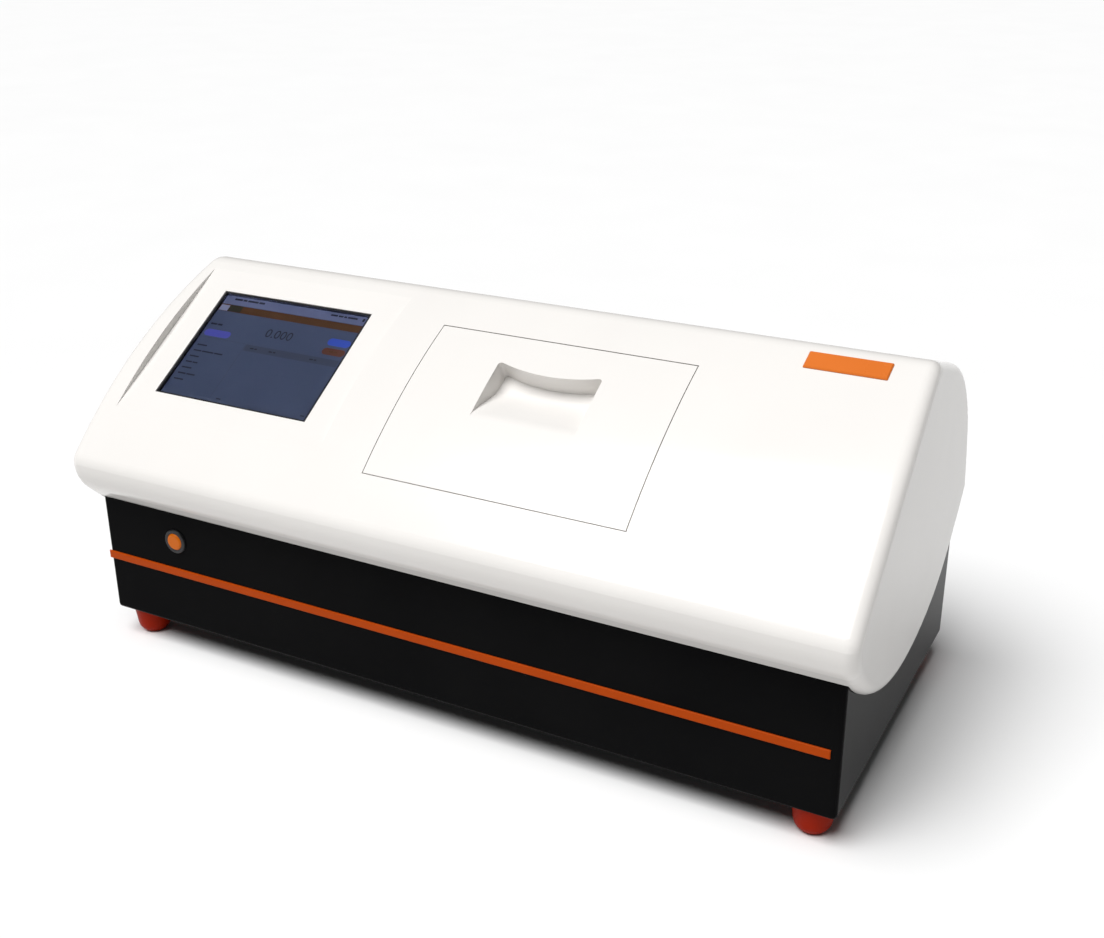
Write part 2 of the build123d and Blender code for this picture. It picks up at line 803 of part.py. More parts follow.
def optical_mount(x, bore, length=mount_sheet):
    """A block that stands on the bench, with a rounded top and a bore on the beam."""
    with BuildPart() as mount:
        with BuildSketch(beam.offset(x)):
            with Locations((0, -beam_height)):
                Rectangle(mount_width, beam_height, align=(Align.CENTER, Align.MIN))
            Circle(mount_width / 2)
            Circle(bore, mode=Mode.SUBTRACT)
        extrude(amount=length)
    return mount.part


def beam_ring(x, length, outer, inner=0.0):
    """A round piece on the beam, with a bore if it has an inner radius."""
    with BuildPart() as ring:
        with BuildSketch(beam.offset(x)):
            Circle(outer)
            if inner:
                Circle(inner, mode=Mode.SUBTRACT)
        extrude(amount=length)
    return ring.part


# Sample chamber under the lid

chamber_depth = chamber_rear_y - chamber_front_y
seal_top = hood_wall + seam
rim_top = seal_top + seal_thickness


def under_hood(top, lap=0.0):
    """Side sketch of the chamber's block, up to a depth under the hood's skin."""
    with BuildSketch() as space:
        add(hood_outline(top))
        with Locations((chamber_front_y - chamber_wall - lap, bench_top_z)):
            Rectangle(chamber_depth + 2 * (chamber_wall + lap), body_depth, align=(Align.MIN, Align.MIN),
                      mode=Mode.INTERSECT)
    return space.sketch


def rim_under_hood(top, low):
    """Side sketch of the flat rim round the chamber's mouth, between two depths under the skin."""
    with BuildSketch() as space:
        add(under_hood(top, flange_reach))
        add(hood_outline(low), mode=Mode.SUBTRACT)
        with Locations((chamber_front_y, beam_z)):
            Rectangle(body_depth, body_depth, align=(Align.CENTER, Align.MIN), mode=Mode.INTERSECT)
    return space.sketch


with BuildPart() as chamber_hollow:
    with BuildSketch(plan.offset(bench_top_z + chamber_wall)):
        with Locations((lid_x, chamber_front_y)):
            Rectangle(chamber_inner_width, chamber_depth, align=(Align.CENTER, Align.MIN))
    extrude(amount=body_depth)
    # the arc that the lid's rear edge swings in
    with BuildSketch(side.offset(lid_x - lid_width / 2 - lid_gap)):
        with Locations((pin_y, pin_z)):
            Circle(swing_radius + swing_gap)
    extrude(amount=lid_width + 2 * lid_gap)

with BuildPart() as sample_chamber:
    with BuildSketch(side.offset(chamber_left_x)):
        add(under_hood(rim_top))
    extrude(amount=chamber_outer_width)
    with BuildSketch(side.offset(chamber_left_x - flange_reach)):
        add(rim_under_hood(rim_top, rim_top + flange_sheet))
    extrude(amount=chamber_outer_width + 2 * flange_reach)
    add(chamber_hollow.part, mode=Mode.SUBTRACT)
    with BuildSketch(beam.offset(chamber_left_x)):
        Circle(window_radius)
    extrude(amount=chamber_outer_width, mode=Mode.SUBTRACT)
finish(sample_chamber.part, "sample_chamber")

with BuildPart() as lid_seal:
    with BuildSketch(side.offset(chamber_left_x - flange_reach)):
        add(rim_under_hood(seal_top, rim_top))
    extrude(amount=chamber_outer_width + 2 * flange_reach)
    add(chamber_hollow.part, mode=Mode.SUBTRACT)
finish(lid_seal.part, "lid_seal")

with BuildPart() as chamber_windows:
    for window_x in (chamber_left_x, chamber_left_x + chamber_outer_width - window_sheet):
        add(beam_ring(window_x, window_sheet, window_radius - bench_gap))
finish(chamber_windows.part, "chamber_windows")

rest_height = rest_top_z - bench_top_z - chamber_wall
with BuildPart() as tube_rests:
    for rest_x in (lid_x - rest_spacing / 2, lid_x + rest_spacing / 2):
        with BuildSketch(beam.offset(rest_x - rest_width / 2)):
            with Locations((0, rest_top_z - beam_z)):
                Rectangle(rest_block, rest_height, align=(Align.CENTER, Align.MAX))
            with Locations((0, 0)):
                Rectangle(tube_radius * 2, tube_radius * 2, rotation=45, mode=Mode.SUBTRACT)
        extrude(amount=rest_width)
finish(tube_rests.part, "tube_rests")


# Lid and hinge

def recess_form(grow):
    """The lid's finger recess, grown outwards by a wall: a bowed rear wall over a floor that runs out."""
    top = lid_length - recess_from_rear
    low = top - recess_length
    crown = top * (lid_length - top) / (2 * face_radius)
    start = low * (lid_length - low) / (2 * face_radius)
    section = Plane(origin=lid_slope.origin, x_dir=lid_slope.y_dir, z_dir=(1, 0, 0))
    with BuildPart() as form:
        with BuildSketch(lid_slope.offset(recess_depth * 2)) as opening:
            with Locations((0, low)):
                Rectangle(recess_width + 2 * grow, recess_length * 1.5, align=(Align.CENTER, Align.MIN))
            sagitta = recess_bow_radius - sqrt(recess_bow_radius ** 2 - (recess_width / 2) ** 2)
            with Locations((0, top - sagitta + recess_bow_radius)):
                Circle(recess_bow_radius - grow, mode=Mode.SUBTRACT)
            fillet(opening.vertices().group_by(Axis.Y)[-1], recess_corner + grow)
        extrude(amount=-recess_depth * 4)
        with BuildSketch(section.offset(-recess_width)):
            with BuildLine():
                floor_start = (low, start - grow)
                floor_end = (top - recess_cove, crown - recess_depth - grow)
                Spline(floor_start, floor_end, tangents=[(1, 0), (1, 0)], tangent_scalars=[0.6, 0.6])
                Polyline(floor_end, (top + recess_depth, crown - recess_depth - grow),
                         (top + recess_depth, recess_depth), (low, recess_depth), floor_start)
            make_face()
        extrude(amount=recess_width * 2, mode=Mode.INTERSECT)
    return form.part


front_edge = Vector(lid_front_y, face_z(lid_front_y))
up_slope = Vector(cos(radians(lid_angle)), sin(radians(lid_angle)))
off_slope = Vector(-sin(radians(lid_angle)), cos(radians(lid_angle)))
pin_up = (Vector(pin_y, pin_z) - front_edge).dot(up_slope)
lid_left_x = lid_x - lid_width / 2
ear_places = (lid_x - hinge_spacing / 2, lid_x + hinge_spacing / 2)
with BuildPart() as chamber_lid:
    with BuildSketch(side.offset(lid_left_x)):
        with BuildLine():
            Polyline(front_edge + off_slope * hood_overhang * 2, front_edge - off_slope * hood_overhang,
                     front_edge - off_slope * hood_overhang + up_slope * pin_up,
                     front_edge + off_slope * hood_overhang * 2 + up_slope * pin_up, close=True)
        make_face()
        with Locations((pin_y, pin_z)):
            Circle(swing_radius)
        add(hood_outline(0), mode=Mode.INTERSECT)
        add(hood_outline(lid_wall), mode=Mode.SUBTRACT)
    extrude(amount=lid_width)
    add(recess_form(lid_wall))
    for ear_x in ear_places:
        with BuildSketch(side.offset(ear_x - hinge_ear_width / 2)):
            with Locations((pin_y, pin_z)):
                Circle(hinge_ear_radius)
                Rectangle(hinge_ear_radius * 2, hinge_depth - lid_wall / 2, rotation=degrees(rear_slope),
                          align=(Align.CENTER, Align.MIN))
        extrude(amount=hinge_ear_width)
    with BuildSketch(side.offset(lid_left_x)):
        add(hood_outline(0))
    extrude(amount=lid_width, mode=Mode.INTERSECT)
    add(recess_form(0), mode=Mode.SUBTRACT)
    with BuildSketch(side.offset(lid_left_x)):
        with Locations((pin_y, pin_z)):
            Circle(hinge_pin_radius + hinge_running_gap)
    extrude(amount=lid_width, mode=Mode.SUBTRACT)
finish(chamber_lid.part, "chamber_lid")

arm_low = pin_z - swing_radius - swing_gap - hinge_arm_width
with BuildPart() as hinge_brackets:
    for ear_x in ear_places:
        for arm_side in (-1, 1):
            arm_x = ear_x + arm_side * (hinge_ear_width + hinge_arm_sheet + 2 * seam) / 2
            with BuildSketch(side.offset(arm_x - hinge_arm_sheet / 2)):
                with Locations((pin_y, pin_z)):
                    Circle(hinge_arm_radius)
                    Rectangle(hinge_arm_radius * 2, pin_z - arm_low, align=(Align.CENTER, Align.MAX))
                with Locations((pin_y - hinge_arm_radius, arm_low)):
                    Rectangle(chamber_rear_y - pin_y + hinge_arm_radius, hinge_arm_width,
                              align=(Align.MIN, Align.MIN))
                with Locations((pin_y, pin_z)):
                    Circle(hinge_pin_radius + hinge_running_gap, mode=Mode.SUBTRACT)
            extrude(amount=hinge_arm_sheet)
        with BuildSketch(front.offset(-chamber_rear_y)):
            with Locations((ear_x, arm_low)):
                Rectangle(hinge_ear_width + 2 * hinge_arm_sheet + 2 * seam, hinge_arm_width,
                          align=(Align.CENTER, Align.MIN))
        extrude(amount=hinge_arm_sheet)
finish(hinge_brackets.part, "hinge_brackets")

pin_half = hinge_ear_width / 2 + seam + hinge_arm_sheet
with BuildPart() as hinge_pins:
    for ear_x in ear_places:
        with BuildSketch(side.offset(ear_x - pin_half)):
            with Locations((pin_y, pin_z)):
                Circle(hinge_pin_radius)
        extrude(amount=2 * pin_half)
        for head_x in (ear_x - pin_half - hinge_pin_head, ear_x + pin_half):
            with BuildSketch(side.offset(head_x)):
                with Locations((pin_y, pin_z)):
                    Circle(hinge_pin_head_radius)
            extrude(amount=hinge_pin_head)
finish(hinge_pins.part, "hinge_pins")


# Light source side of the beam

with BuildPart() as beam_mounts:
    add(optical_mount(polariser_x - mount_sheet / 2, polariser_radius + bench_gap))
    add(optical_mount(collimator_x - mount_sheet / 2, collimator_radius + bench_gap))
    add(optical_mount(detector_x + detector_length / 2, detector_radius + bench_gap))
finish(beam_mounts.part, "beam_mounts")
finish(beam_ring(polariser_x - polariser_sheet / 2, polariser_sheet, polariser_radius), "polariser")
finish(beam_ring(collimator_x - collimator_length / 2, collimator_length, collimator_radius, lens_radius + bench_gap),
       "collimator_barrel")

with BuildPart() as collimator_lens:
    with BuildSketch(Plane(origin=beam.origin, x_dir=(1, 0, 0), z_dir=(0, -1, 0))):
        with BuildLine():
            lens_x = collimator_x - collimator_length / 2 + lens_edge
            ThreePointArc((lens_x, lens_radius), (lens_x - lens_crown, 0), (lens_x, -lens_radius))
            Polyline((lens_x, -lens_radius), (lens_x + lens_edge, -lens_radius), (lens_x + lens_edge, lens_radius),
                     (lens_x, lens_radius))
        make_face()
        with Locations((lens_x, 0)):
            Rectangle(lens_radius * 2, lens_radius, align=(Align.CENTER, Align.MIN), mode=Mode.INTERSECT)
    revolve(axis=Axis(beam.origin, (1, 0, 0)))
finish(collimator_lens.part, "collimator_lens")

with BuildPart() as lamp_house:
    with BuildSketch(beam.offset(lamp_x)):
        with Locations((0, -beam_height)):
            Rectangle(lamp_width, beam_height + lamp_width / 2, align=(Align.CENTER, Align.MIN))
    extrude(amount=lamp_length)
    with BuildSketch(beam.offset(lamp_x)):
        Circle(lens_radius)
    extrude(amount=lamp_length, mode=Mode.SUBTRACT)
finish(lamp_house.part, "lamp_house")

with BuildPart() as lamp_board:
    with BuildSketch(beam.offset(lamp_x + lamp_length)):
        RectangleRounded(lamp_width, lamp_width, lamp_corner)
    extrude(amount=board_sheet)
    with BuildSketch(beam.offset(lamp_x + lamp_length)):
        Circle(lamp_chip_radius)
    extrude(amount=-lamp_chip_height)
finish(lamp_board.part, "lamp_board")

with BuildPart() as lamp_heat_sink:
    with BuildSketch(beam.offset(lamp_x + lamp_length + board_sheet)):
        Rectangle(lamp_width, lamp_width)
    extrude(amount=heat_sink_base)
    with BuildSketch(beam.offset(lamp_x + lamp_length + board_sheet + heat_sink_base)):
        with GridLocations(lamp_width / heat_sink_fins, 0, heat_sink_fins, 1):
            Rectangle(heat_sink_fin, lamp_width)
    extrude(amount=heat_sink_reach)
finish(lamp_heat_sink.part, "lamp_heat_sink")


# Modulator between the chamber and the analyser

with BuildPart() as modulator_cradle:
    with BuildSketch(beam.offset(modulator_x)):
        with Locations((0, -beam_height)):
            Rectangle(mount_width, beam_height - cradle_drop, align=(Align.CENTER, Align.MIN))
        Circle(coil_flange_radius + bench_gap, mode=Mode.SUBTRACT)
    extrude(amount=modulator_length)
finish(modulator_cradle.part, "modulator_cradle")

with BuildPart() as coil_bobbin:
    add(beam_ring(modulator_x, modulator_length, coil_core_radius, core_radius + bench_gap))
    for flange_x in (modulator_x, modulator_x + modulator_length - coil_flange):
        add(beam_ring(flange_x, coil_flange, coil_flange_radius, coil_core_radius - bench_gap))
finish(coil_bobbin.part, "coil_bobbin")
finish(beam_ring(modulator_x + coil_flange, modulator_length - 2 * coil_flange, coil_radius,
                 coil_core_radius + bench_gap), "modulator_coil")
finish(beam_ring(modulator_x + coil_flange, modulator_length - 2 * coil_flange, core_radius), "modulator_core")


# Analyser and its gear drive

def involute(angle):
    """Involute function of a pressure angle in radians."""
    return tan(angle) - angle


def gear_profile(teeth, phase=0.0):
    """Spur gear outline with arc flanks through three points of the true involute."""
    pitch = gear_module * teeth / 2
    base = pitch * cos(radians(pressure_angle))
    root = pitch - 1.25 * gear_module
    tip = pitch + gear_module
    low = max(base, root)
    half_pitch_tooth = pi / (2 * teeth) - backlash / (2 * pitch)

    def flank(radius, hand):
        swing = involute(radians(pressure_angle)) - involute(acos(base / radius))
        angle = hand * (half_pitch_tooth + swing)
        return (radius * cos(angle), radius * sin(angle))

    with BuildSketch() as tooth:
        with BuildLine():
            mean = (low + tip) / 2
            upper = ThreePointArc(flank(low, 1), flank(mean, 1), flank(tip, 1))
            lower = ThreePointArc(flank(low, -1), flank(mean, -1), flank(tip, -1))
            Line(upper @ 1, lower @ 1)
            inside = root - gear_module / 2
            Polyline(upper @ 0, (inside, (upper @ 0).Y), (inside, (lower @ 0).Y), lower @ 0)
        make_face()
    with BuildSketch() as profile:
        Circle(root)
        with PolarLocations(0, teeth, start_angle=phase):
            add(tooth.sketch)
    return profile.sketch


drum_length = drum_right_x - drum_left_x
with BuildPart() as analyser_housing:
    add(optical_mount(block_left_x, drum_radius + drum_clearance, analyser_block))
    for bearing_x in (block_left_x, block_left_x + analyser_block - bearing_width):
        with BuildSketch(beam.offset(bearing_x)):
            Circle(bearing_radius + bench_gap)
        extrude(amount=bearing_width, mode=Mode.SUBTRACT)
finish(analyser_housing.part, "analyser_housing")

with BuildPart() as analyser_bearings:
    for bearing_x in (block_left_x, block_left_x + analyser_block - bearing_width):
        add(beam_ring(bearing_x, bearing_width, bearing_radius, drum_radius + running_gap))
finish(analyser_bearings.part, "analyser_bearings")

finish(beam_ring(drum_left_x, drum_length, drum_radius, drum_bore_radius), "analyser_drum")
finish(beam_ring(analyser_x - prism_length / 2, prism_length, drum_bore_radius - bench_gap), "analyser_prism")

with BuildPart() as analyser_gear:
    with BuildSketch(beam.offset(drum_left_x)):
        add(gear_profile(drum_teeth))
        Circle(drum_radius + bench_gap, mode=Mode.SUBTRACT)
        with PolarLocations((drum_radius + drum_teeth * gear_module / 2) / 2, gear_holes):
            Circle(gear_hole_radius, mode=Mode.SUBTRACT)
    extrude(amount=gear_face)
finish(analyser_gear.part, "analyser_gear")

gear_centres = gear_module * (drum_teeth + pinion_teeth) / 2
motor_axis = Plane(origin=beam.origin + Vector(0, gear_centres, 0), x_dir=(0, 1, 0), z_dir=(1, 0, 0))
with BuildPart() as motor_pinion:
    with BuildSketch(motor_axis.offset(drum_left_x - pinion_overlap)):
        add(gear_profile(pinion_teeth, 180 / pinion_teeth))
        Circle(motor_shaft_radius + bench_gap, mode=Mode.SUBTRACT)
    extrude(amount=gear_face + 2 * pinion_overlap)
finish(motor_pinion.part, "motor_pinion")

shaft_left_x = motor_plate_x - motor_shaft_depth
with BuildPart() as motor_shaft:
    with BuildSketch(motor_axis.offset(shaft_left_x)):
        Circle(motor_shaft_radius)
    extrude(amount=drum_left_x + gear_face + pinion_overlap - shaft_left_x)
finish(motor_shaft.part, "motor_shaft")

with BuildPart() as stepper_motor:
    with BuildSketch(motor_axis.offset(motor_plate_x - motor_length)) as motor_section:
        Rectangle(motor_size, motor_size)
        chamfer(motor_section.vertices(), motor_corner)
    extrude(amount=motor_length)
    with BuildSketch(motor_axis.offset(motor_plate_x)):
        Circle(motor_boss_radius)
    extrude(amount=motor_plate_sheet)
    with BuildSketch(motor_axis.offset(shaft_left_x - seam)):
        Circle(motor_shaft_radius + running_gap)
    extrude(amount=motor_length, mode=Mode.SUBTRACT)
finish(stepper_motor.part, "stepper_motor")

with BuildPart() as motor_bracket:
    with BuildSketch(motor_axis.offset(motor_plate_x)):
        with Locations((0, -beam_height)):
            Rectangle(motor_size, beam_height + motor_size / 2, align=(Align.CENTER, Align.MIN))
        Circle(motor_boss_radius + bench_gap, mode=Mode.SUBTRACT)
    extrude(amount=motor_plate_sheet)
finish(motor_bracket.part, "motor_bracket")


# Detector

with BuildPart() as detector_housing:
    add(beam_ring(detector_x, detector_length, detector_radius, detector_radius - detector_wall))
    add(beam_ring(detector_x + detector_length - detector_wall, detector_wall, detector_radius - detector_wall / 2,
                  drum_bore_radius))
finish(detector_housing.part, "detector_housing")
with BuildPart() as photomultiplier:
    add(beam_ring(detector_x, detector_socket, detector_radius - detector_wall - bench_gap))
    add(beam_ring(detector_x + detector_socket, tube_length, tube_glass_radius))
finish(photomultiplier.part, "photomultiplier")


# Boards and power supply on the casing floor

with BuildPart() as board_posts:
    with BuildSketch(plan.offset(casing_sheet)):
        with Locations((board_x, board_y)):
            with GridLocations((board_width - 4 * post_radius) / 2, board_length - 4 * post_radius, 3, 2):
                Circle(post_radius)
    extrude(amount=board_z - casing_sheet)
finish(board_posts.part, "board_posts")

with BuildPart() as main_board:
    with BuildSketch(plan.offset(board_z)):
        with Locations((board_x, board_y)):
            Rectangle(board_width, board_length)
    extrude(amount=board_sheet)
finish(main_board.part, "main_board")

with BuildPart() as board_parts:
    with BuildSketch(plan.offset(board_z + board_sheet)):
        with Locations((board_x - chip_offset, board_y)):
            Rectangle(chip_size, chip_size)
        with Locations((board_x, board_y - chip_size)):
            with GridLocations(0, driver_pitch, 1, 2):
                Rectangle(driver_length, driver_width)
    extrude(amount=chip_height)
    with BuildSketch(plan.offset(board_z + board_sheet)):
        with Locations((board_x + chip_offset, board_y)):
            with GridLocations(capacitor_pitch, capacitor_pitch, 2, 3):
                Circle(capacitor_radius)
    extrude(amount=capacitor_height)
finish(board_parts.part, "board_parts")

with BuildPart() as power_supply:
    with BuildSketch(plan.offset(casing_sheet)):
        with Locations((supply_x, supply_y)):
            Rectangle(supply_width, supply_length)
    extrude(amount=supply_height)
    offset(amount=-supply_sheet, openings=power_supply.faces().sort_by(Axis.Z)[0])
    with BuildSketch(plan.offset(casing_sheet + supply_height)):
        with Locations((supply_x, supply_y)):
            with GridLocations(vent_pitch, 0, vent_count, 1):
                SlotOverall(vent_slot_length, vent_slot_width, rotation=90)
    extrude(amount=-casing_sheet, mode=Mode.SUBTRACT)
finish(power_supply.part, "power_supply")


# Rear panel, fan and sockets

panel_height = rear_panel_high_z - rear_panel_low_z
panel_mid_z = (rear_panel_low_z + rear_panel_high_z) / 2
port_z = board_z + board_sheet + port_height / 2
with BuildPart() as rear_panel:
    with BuildSketch(rear):
        with Locations((0, panel_mid_z)):
            RectangleRounded(rear_panel_width, panel_height, rear_panel_lap / 2)
        with Locations((fan_x, fan_z)):
            Circle(fan_bore_radius, mode=Mode.SUBTRACT)
        with Locations((inlet_x, inlet_z)):
            Rectangle(inlet_body_width + 2 * seam, inlet_body_height + 2 * seam, mode=Mode.SUBTRACT)
        with Locations((serial_x, port_z)):
            Rectangle(serial_shell_width + 2 * seam, serial_shell_height + 2 * seam, mode=Mode.SUBTRACT)
        with Locations((usb_x, port_z)):
            Rectangle(usb_width + 2 * seam, port_height + 2 * seam, mode=Mode.SUBTRACT)
        with Locations((0, panel_mid_z)):
            with GridLocations((rear_panel_width - 2 * panel_screw_inset) / 3, panel_height - 2 * panel_screw_inset, 4, 2):
                Circle(panel_screw_radius + screw_fit, mode=Mode.SUBTRACT)
    extrude(amount=-rear_sheet)
finish(rear_panel.part, "rear_panel")

with BuildPart() as panel_screws:
    with BuildSketch(rear.offset(-rear_sheet)):
        with Locations((0, panel_mid_z)):
            with GridLocations((rear_panel_width - 2 * panel_screw_inset) / 3, panel_height - 2 * panel_screw_inset, 4, 2):
                Circle(panel_screw_radius * 2)
    extrude(amount=-panel_screw_head)
    with BuildSketch(rear):
        with Locations((0, panel_mid_z)):
            with GridLocations((rear_panel_width - 2 * panel_screw_inset) / 3, panel_height - 2 * panel_screw_inset, 4, 2):
                Circle(panel_screw_radius)
    extrude(amount=-rear_sheet)
finish(panel_screws.part, "panel_screws")

with BuildPart() as hood_joiner:
    with BuildSketch(side.offset(-joiner_half)):
        with BuildLine():
            wall_y = body_depth - hood_wall
            Polyline((wall_y - joiner_sheet, joiner_low_z), (inner_rear, joiner_low_z), (inner_rear, rear_wall_top),
                     (wall_y, rear_wall_top), (wall_y, joiner_high_z), (wall_y - joiner_sheet, joiner_high_z),
                     close=True)
        make_face()
    extrude(amount=2 * joiner_half)
finish(hood_joiner.part, "hood_joiner")

fan_axis = Plane(origin=(fan_x, front_y + body_depth, foot_height + fan_z), x_dir=(1, 0, 0), z_dir=(0, -1, 0))
with BuildPart() as fan_frame:
    with BuildSketch(fan_axis):
        RectangleRounded(fan_size, fan_size, fan_corner)
        Circle(fan_bore_radius, mode=Mode.SUBTRACT)
    extrude(amount=fan_thickness)
    with BuildSketch(fan_axis.offset(fan_thickness - fan_strut)):
        Circle(fan_hub_radius)
        with PolarLocations(0, 4, start_angle=45):
            Rectangle(fan_bore_radius + fan_strut / 2, fan_strut, align=(Align.MIN, Align.CENTER))
    extrude(amount=fan_strut)
    with BuildSketch(fan_axis.offset(fan_thickness - fan_strut - fan_bush_length)):
        Circle(fan_bush_radius)
    extrude(amount=fan_bush_length)
    with BuildSketch(fan_axis):
        Circle(fan_shaft_radius + running_gap)
    extrude(amount=fan_thickness, mode=Mode.SUBTRACT)
finish(fan_frame.part, "fan_frame")

rotor_top = fan_thickness - fan_strut - fan_end_gap
with BuildPart() as fan_rotor:
    with BuildSketch(fan_axis.offset(fan_end_gap)):
        Circle(fan_hub_radius)
    extrude(amount=rotor_top - fan_end_gap)
    with BuildSketch(fan_axis.offset(fan_end_gap + fan_strut)):
        Circle(fan_hub_radius - fan_hub_wall)
        Circle(fan_shaft_radius, mode=Mode.SUBTRACT)
    extrude(amount=rotor_top, mode=Mode.SUBTRACT)
    with BuildSketch(fan_axis.offset(fan_end_gap)):
        Circle(fan_shaft_radius)
    extrude(amount=fan_thickness - fan_end_gap)
    blade_middle = (rotor_top + fan_end_gap) / 2
    for blade in range(fan_blades):
        turn = 2 * pi * blade / fan_blades
        outward = Vector(cos(turn), 0, sin(turn))
        root = fan_axis.origin - Vector(0, blade_middle, 0) + outward * (fan_hub_radius - fan_hub_wall / 2)
        with BuildSketch(Plane(origin=root, x_dir=(0, 1, 0), z_dir=outward)):
            Rectangle(fan_blade_chord, fan_blade_sheet, rotation=fan_blade_pitch)
        extrude(amount=fan_bore_radius - fan_hub_radius - fan_tip_gap)
finish(fan_rotor.part, "fan_rotor")

with BuildPart() as fan_guard:
    with BuildSketch(rear.offset(-rear_sheet)):
        with Locations((fan_x, fan_z)):
            for ring in range(guard_rings):
                ring_radius = fan_bore_radius + guard_wire - ring * guard_pitch
                Circle(ring_radius)
                Circle(ring_radius - guard_wire, mode=Mode.SUBTRACT)
            with PolarLocations(0, 4, start_angle=45):
                Rectangle(guard_reach, guard_wire, align=(Align.MIN, Align.CENTER))
    extrude(amount=-guard_wire)
finish(fan_guard.part, "fan_guard")

with BuildPart() as mains_inlet:
    with BuildSketch(rear.offset(-rear_sheet)):
        with Locations((inlet_x, inlet_z)):
            RectangleRounded(inlet_flange_width, inlet_flange_height, inlet_corner)
    extrude(amount=-inlet_flange)
    with BuildSketch(rear.offset(-rear_sheet)):
        with Locations((inlet_x, inlet_z)):
            Rectangle(inlet_body_width, inlet_body_height)
    extrude(amount=inlet_body_depth)
    with BuildSketch(rear.offset(-rear_sheet - inlet_flange)) as socket:
        with Locations((inlet_x - inlet_socket_offset, inlet_z)):
            Rectangle(inlet_socket_width, inlet_socket_height)
            chamfer(socket.vertices().group_by(Axis.Y)[0], inlet_socket_chamfer)
    extrude(amount=inlet_socket_depth, mode=Mode.SUBTRACT)
    with BuildSketch(rear.offset(-rear_sheet - inlet_flange)):
        with Locations((inlet_x + inlet_fuse_offset, inlet_z)):
            Rectangle(fuse_width + 2 * seam, fuse_height + 2 * seam)
    extrude(amount=fuse_depth, mode=Mode.SUBTRACT)
finish(mains_inlet.part, "mains_inlet")

with BuildPart() as inlet_pins:
    with BuildSketch(rear.offset(inlet_socket_depth - rear_sheet - inlet_flange)):
        with Locations((inlet_x - inlet_socket_offset, inlet_z)):
            with Locations((-inlet_pin_pitch, -inlet_pin_drop), (inlet_pin_pitch, -inlet_pin_drop), (0, inlet_pin_drop)):
                Rectangle(inlet_pin_width, inlet_pin_height)
    extrude(amount=-inlet_pin_length)
finish(inlet_pins.part, "inlet_pins")

with BuildPart() as fuse_drawer:
    with BuildSketch(rear.offset(fuse_depth - rear_sheet - inlet_flange - seam)):
        with Locations((inlet_x + inlet_fuse_offset, inlet_z)):
            Rectangle(fuse_width, fuse_height)
    extrude(amount=-fuse_depth)
finish(fuse_drawer.part, "fuse_drawer")

with BuildPart() as serial_port:
    with BuildSketch(rear):
        with Locations((serial_x, port_z)):
            Rectangle(serial_width, port_height)
    extrude(amount=serial_depth)
    with BuildSketch(rear) as shell:
        with Locations((serial_x, port_z)):
            Trapezoid(serial_shell_width, serial_shell_height, 80, rotation=180)
        fillet(shell.vertices(), serial_corner)
    extrude(amount=-(rear_sheet + connector_reach))
finish(serial_port.part, "serial_port")

with BuildPart() as usb_port:
    with BuildSketch(rear.offset(-rear_sheet)):
        with Locations((usb_x, port_z)):
            Rectangle(usb_width, port_height)
    extrude(amount=usb_depth)
    with BuildSketch(rear.offset(-rear_sheet)):
        with Locations((usb_x, port_z)):
            Rectangle(usb_width - 2 * usb_wall, port_height - 2 * usb_wall)
            Rectangle(usb_tongue_width, usb_tongue_height, mode=Mode.SUBTRACT)
    extrude(amount=usb_depth * 0.6, mode=Mode.SUBTRACT)
finish(usb_port.part, "usb_port")
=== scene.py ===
import json
import math

import bpy
import bmesh
from mathutils import Matrix, Vector


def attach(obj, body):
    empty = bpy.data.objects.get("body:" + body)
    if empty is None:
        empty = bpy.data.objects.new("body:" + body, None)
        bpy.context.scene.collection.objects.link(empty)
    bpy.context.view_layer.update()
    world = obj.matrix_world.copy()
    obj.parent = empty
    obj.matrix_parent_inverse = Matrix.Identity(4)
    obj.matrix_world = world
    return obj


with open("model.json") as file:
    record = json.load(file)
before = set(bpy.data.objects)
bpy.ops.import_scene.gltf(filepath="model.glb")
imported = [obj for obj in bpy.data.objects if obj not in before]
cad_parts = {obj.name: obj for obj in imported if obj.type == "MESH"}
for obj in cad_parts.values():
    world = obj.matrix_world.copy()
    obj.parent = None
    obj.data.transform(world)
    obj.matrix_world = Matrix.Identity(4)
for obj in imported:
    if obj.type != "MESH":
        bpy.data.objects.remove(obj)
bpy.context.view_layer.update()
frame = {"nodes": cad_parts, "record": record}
scene = bpy.context.scene

# The part's own places, in metres
FRONT_Y = -0.14825
FOOT_HEIGHT = 0.027
CASING_WIDTH = 0.696

# Camera: solved on the corners of the casing, the display and the plate in the photograph,
# with lengths in casing widths from the casing's front left lower corner
IMAGE_WIDTH = 1104
IMAGE_HEIGHT = 938
AZIMUTH = math.radians(28.3627)
ELEVATION = math.radians(22.2605)
ROLL = math.radians(-0.3663)
DISTANCE = 2.0038
TARGET = Vector((0.4224, 0.4484, 0.15))
FOCAL_PIXELS = 1388.70
CENTRE_U = 548.70
CENTRE_V = 446.52
SENSOR = 36.0
CLIP_NEAR = 0.01
CLIP_FAR = 50

# Procedural finishes
NOISE_LOW = 0.3
NOISE_HIGH = 0.7
MOTTLE_DETAIL = 4.0
GRAIN_DETAIL = 2.0
# The patches of the gloss are finer than those of the colour by this much
GLOSS_FINER = 2.5
BRUSHED = (1, 30, 30)
WOUND = (60, 1, 1)

